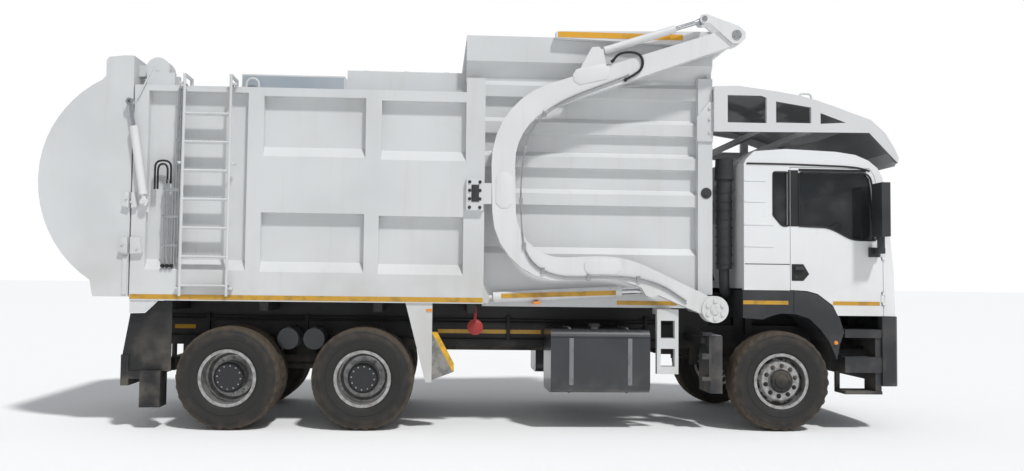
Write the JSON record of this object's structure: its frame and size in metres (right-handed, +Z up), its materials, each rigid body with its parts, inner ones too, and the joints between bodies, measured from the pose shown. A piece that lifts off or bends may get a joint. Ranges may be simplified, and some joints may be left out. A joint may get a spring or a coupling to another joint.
{
  "type": "garbage truck",
  "caption": "Front-loading refuse truck with two rear axles, lifting arms over the cab, an open hopper, a ribbed body and a curved lifting tailgate.",
  "frame": {"origin": "centre of the truck's footprint box on the ground", "axes": "+X towards the cab, +Y to the truck's left, +Z up"},
  "size_m": [9.313, 2.82, 4.498],
  "materials": {
    "white_paint": "semi-gloss light grey white",
    "cab_paint": "gloss white",
    "chassis_paint": "satin black",
    "axle_iron": "dull black",
    "dark_plastic": "grained dark grey",
    "tank_paint": "satin charcoal",
    "glass": "tinted",
    "lamp_lens": "clear lens",
    "cab_trim": "interior grey",
    "seat_cloth": "dark woven",
    "tyre_rubber": "dusty black",
    "rim_steel": "silver",
    "rod_chrome": "polished",
    "chock_paint": "grey with yellow edges",
    "inner_steel": "worn grey"
  },
  "bodies": {
    "root": {"chassis_frame": "chassis_paint", "front_axle": "axle_iron", "rear_axles": "axle_iron", "leaf_springs": "axle_iron", "drive_shafts": "axle_iron", "engine_block": "axle_iron", "fuel_tank": "tank_paint", "left_side_tanks": "tank_paint", "side_steps": "white_paint", "cab_shell": "cab_paint", "cab_glass": "glass", "front_panel": "cab_paint", "bumper": "dark_plastic", "headlamps": "lamp_lens", "front_fenders": "dark_plastic", "cab_steps": "dark_plastic", "seats": "seat_cloth", "dashboard": "cab_trim", "steering_wheel": "cab_trim", "cab_guard": "white_paint", "body_shell": "white_paint", "hopper": "white_paint", "side_brackets": "white_paint", "ladder": "white_paint", "rear_underrun": "chassis_paint", "mudguard_struts": "white_paint", "wheel_chock": "chock_paint"},
    "top_hatch": {"top_hatch": "white_paint"},
    "packer_panel": {"packer_panel": "inner_steel"},
    "tailgate": {"tailgate": "white_paint"},
    "door_right": {"door_right": "cab_paint", "door_glass_right": "glass", "mirror_right": "dark_plastic"},
    "door_left": {"door_left": "cab_paint", "door_glass_left": "glass", "mirror_left": "dark_plastic"},
    "lift_arms": {"lift_arms": "white_paint"},
    "forks": {"forks": "white_paint"},
    "lift_barrels": {"lift_barrels": "white_paint"},
    "lift_rods": {"lift_rods": "rod_chrome"},
    "fork_barrels": {"fork_barrels": "white_paint"},
    "fork_rods": {"fork_rods": "rod_chrome"},
    "tailgate_barrels": {"tailgate_barrels": "white_paint"},
    "tailgate_rods": {"tailgate_rods": "rod_chrome"},
    "knuckle_right": {"knuckle_right": "axle_iron"},
    "knuckle_left": {"knuckle_left": "axle_iron"},
    "front_wheel_right": {"front_tyre_right": "tyre_rubber", "front_rim_right": "rim_steel"},
    "front_wheel_left": {"front_tyre_left": "tyre_rubber", "front_rim_left": "rim_steel"},
    "rear_wheels_right": {"rear_tyres_right": "tyre_rubber", "rear_rims_right": "rim_steel"},
    "rear_wheels_left": {"rear_tyres_left": "tyre_rubber", "rear_rims_left": "rim_steel"},
    "middle_wheels_right": {"middle_tyres_right": "tyre_rubber", "middle_rims_right": "rim_steel"},
    "middle_wheels_left": {"middle_tyres_left": "tyre_rubber", "middle_rims_left": "rim_steel"}
  },
  "joints": [
    {"name": "arm_lift", "type": "hinge", "parent": "root", "child": "lift_arms", "pos_m": [2.4705, 0, 1.308], "axis": [0, 1, 0], "range_deg": [0, 100]},
    {"name": "fork_tilt", "type": "hinge", "parent": "lift_arms", "child": "forks", "pos_m": [2.7045, 0, 4.278], "axis": [0, 1, 0], "range_deg": [0, 80]},
    {"name": "tailgate_lift", "type": "hinge", "parent": "root", "child": "tailgate", "pos_m": [-3.4955, 0, 3.796], "axis": [0, 1, 0], "range_deg": [0, 85]},
    {"name": "door_right_swing", "type": "hinge", "parent": "root", "child": "door_right", "pos_m": [4.3965, -1.12, 1.25], "axis": [0, 0, 1], "range_deg": [0, 65]},
    {"name": "door_left_swing", "type": "hinge", "parent": "root", "child": "door_left", "pos_m": [4.3965, 1.12, 1.25], "axis": [0, 0, -1], "range_deg": [0, 65]},
    {"name": "hatch_slide", "type": "slide", "parent": "root", "child": "top_hatch", "axis": [1, 0, 0], "range_m": [0, 2.6]},
    {"name": "packer_slide", "type": "slide", "parent": "root", "child": "packer_panel", "axis": [-1, 0, 0], "range_m": [0, 1.6]},
    {"name": "steer_right", "type": "hinge", "parent": "root", "child": "knuckle_right", "pos_m": [3.2315, -0.9, 0.538], "axis": [0, 0, 1], "range_deg": [-38, 38]},
    {"name": "steer_left", "type": "hinge", "parent": "root", "child": "knuckle_left", "pos_m": [3.2315, 0.9, 0.538], "axis": [0, 0, 1], "range_deg": [-38, 38]},
    {"name": "front_wheel_right_spin", "type": "hinge", "parent": "knuckle_right", "child": "front_wheel_right", "pos_m": [3.2315, -1.04, 0.538], "axis": [0, 1, 0], "continuous": true},
    {"name": "front_wheel_left_spin", "type": "hinge", "parent": "knuckle_left", "child": "front_wheel_left", "pos_m": [3.2315, 1.04, 0.538], "axis": [0, 1, 0], "continuous": true},
    {"name": "rear_wheels_right_spin", "type": "hinge", "parent": "root", "child": "rear_wheels_right", "pos_m": [-2.6685, -1.085, 0.538], "axis": [0, 1, 0], "continuous": true},
    {"name": "rear_wheels_left_spin", "type": "hinge", "parent": "root", "child": "rear_wheels_left", "pos_m": [-2.6685, 1.085, 0.538], "axis": [0, 1, 0], "continuous": true},
    {"name": "middle_wheels_right_spin", "type": "hinge", "parent": "root", "child": "middle_wheels_right", "pos_m": [-1.2685, -1.085, 0.538], "axis": [0, 1, 0], "continuous": true},
    {"name": "middle_wheels_left_spin", "type": "hinge", "parent": "root", "child": "middle_wheels_left", "pos_m": [-1.2685, 1.085, 0.538], "axis": [0, 1, 0], "continuous": true},
    {"name": "lift_barrel_swing", "type": "hinge", "parent": "root", "child": "lift_barrels", "pos_m": [0.0215, 0, 1.4], "axis": [0, 1, 0], "range_deg": [-7.8, 0]},
    {"name": "lift_rod_slide", "type": "slide", "parent": "lift_barrels", "child": "lift_rods", "axis": [0.9983, 0, 0.0586], "range_m": [0, 1.05]},
    {"name": "fork_barrel_swing", "type": "hinge", "parent": "lift_arms", "child": "fork_barrels", "pos_m": [1.1935, 0, 4.062], "axis": [0, 1, 0], "range_deg": [-1.8, 0]},
    {"name": "fork_rod_slide", "type": "slide", "parent": "fork_barrels", "child": "fork_rods", "axis": [0.9488, 0, 0.316], "range_m": [0, 0.52]},
    {"name": "tailgate_barrel_swing", "type": "hinge", "parent": "root", "child": "tailgate_barrels", "pos_m": [-3.5465, 0, 2.358], "axis": [0, 1, 0], "range_deg": [-3, 0]},
    {"name": "tailgate_rod_slide", "type": "slide", "parent": "tailgate_barrels", "child": "tailgate_rods", "axis": [-0.1649, 0, 0.9863], "range_m": [0, 0.62]}
  ],
  "couplings": [
    {"joint": "lift_barrel_swing", "follows": "arm_lift", "ratio": -0.077437},
    {"joint": "lift_rod_slide", "follows": "arm_lift", "m_per_rad": 0.59494},
    {"joint": "fork_barrel_swing", "follows": "fork_tilt", "ratio": -0.021126},
    {"joint": "fork_rod_slide", "follows": "fork_tilt", "m_per_rad": 0.35861},
    {"joint": "tailgate_barrel_swing", "follows": "tailgate_lift", "ratio": -0.034262},
    {"joint": "tailgate_rod_slide", "follows": "tailgate_lift", "m_per_rad": 0.40879},
    {"joint": "steer_left", "follows": "steer_right", "ratio": 1}
  ]
}
